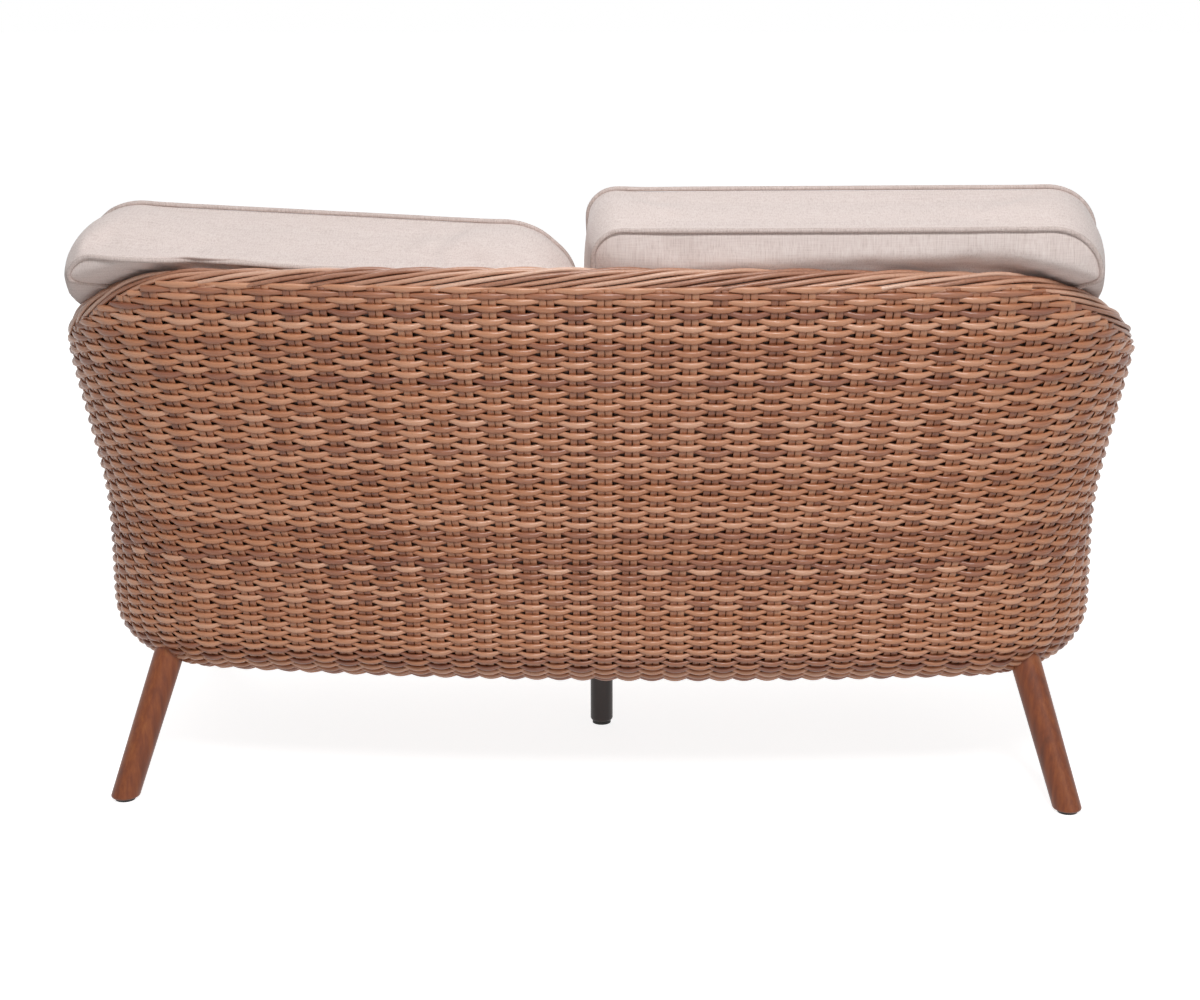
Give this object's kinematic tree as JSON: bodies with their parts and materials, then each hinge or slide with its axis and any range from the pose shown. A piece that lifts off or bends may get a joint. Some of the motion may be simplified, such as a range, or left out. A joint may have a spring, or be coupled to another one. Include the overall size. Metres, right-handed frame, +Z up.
{
  "type": "patio loveseat",
  "caption": "Woven wicker tub loveseat with a bowed back, sloping arms, splayed wooden legs and loose seat and back cushions.",
  "frame": {"origin": "on the floor, at the middle of the footprint", "axes": "+X towards the sitter's left, +Y towards the back, so the front faces -Y, and +Z up"},
  "size_m": [1.5028, 0.7903, 0.8548],
  "materials": {
    "wicker": "soft sheen, resin strand",
    "frame_tube": "powder coat",
    "leg_wood": "oiled",
    "dark_leg": "satin",
    "bolt_steel": "zinc",
    "glide": "matte",
    "cushion_fabric": "fine slub weave"
  },
  "bodies": {
    "shell": {"arm_posts": "frame_tube", "back_posts": "frame_tube", "base_bars": "frame_tube", "base_ring": "frame_tube", "centre_leg": "dark_leg", "corner_posts": "frame_tube", "foot_glides": "glide", "front_apron_weave": "wicker", "front_corner_weave_left": "wicker", "front_corner_weave_right": "wicker", "front_posts": "frame_tube", "inner_arm_weave_left": "wicker", "inner_arm_weave_right": "wicker", "inner_back_weave": "wicker", "inner_corner_weave_left": "wicker", "inner_corner_weave_right": "wicker", "leg_bolts": "bolt_steel", "leg_front_left": "leg_wood", "leg_front_right": "leg_wood", "leg_plates": "frame_tube", "leg_rear_left": "leg_wood", "leg_rear_right": "leg_wood", "outer_arm_weave_left": "wicker", "outer_arm_weave_right": "wicker", "outer_back_weave": "wicker", "outer_corner_weave_left": "wicker", "outer_corner_weave_right": "wicker", "rim_border_arm_left": "wicker", "rim_border_arm_right": "wicker", "rim_border_back": "wicker", "rim_border_corner_left": "wicker", "rim_border_corner_right": "wicker", "rim_border_front": "wicker", "seat_bars": "frame_tube", "seat_deck": "wicker", "seat_rail": "frame_tube", "top_rail": "frame_tube"},
    "seat_left": {"seat_cushion_left": "cushion_fabric"},
    "seat_right": {"seat_cushion_right": "cushion_fabric"},
    "back_left": {"back_cushion_left": "cushion_fabric"},
    "back_right": {"back_cushion_right": "cushion_fabric"}
  },
  "joints": [
    {"name": "seat_cushion_left_lift", "type": "slide", "parent": "shell", "child": "seat_left", "axis": [0, 0, 1], "range_m": [0, 0.45]},
    {"name": "seat_cushion_right_lift", "type": "slide", "parent": "shell", "child": "seat_right", "axis": [0, 0, 1], "range_m": [0, 0.45]},
    {"name": "back_cushion_left_lift", "type": "slide", "parent": "seat_left", "child": "back_left", "axis": [0, 0, 1], "range_m": [0, 0.35]},
    {"name": "back_cushion_right_lift", "type": "slide", "parent": "seat_right", "child": "back_right", "axis": [0, 0, 1], "range_m": [0, 0.35]}
  ]
}
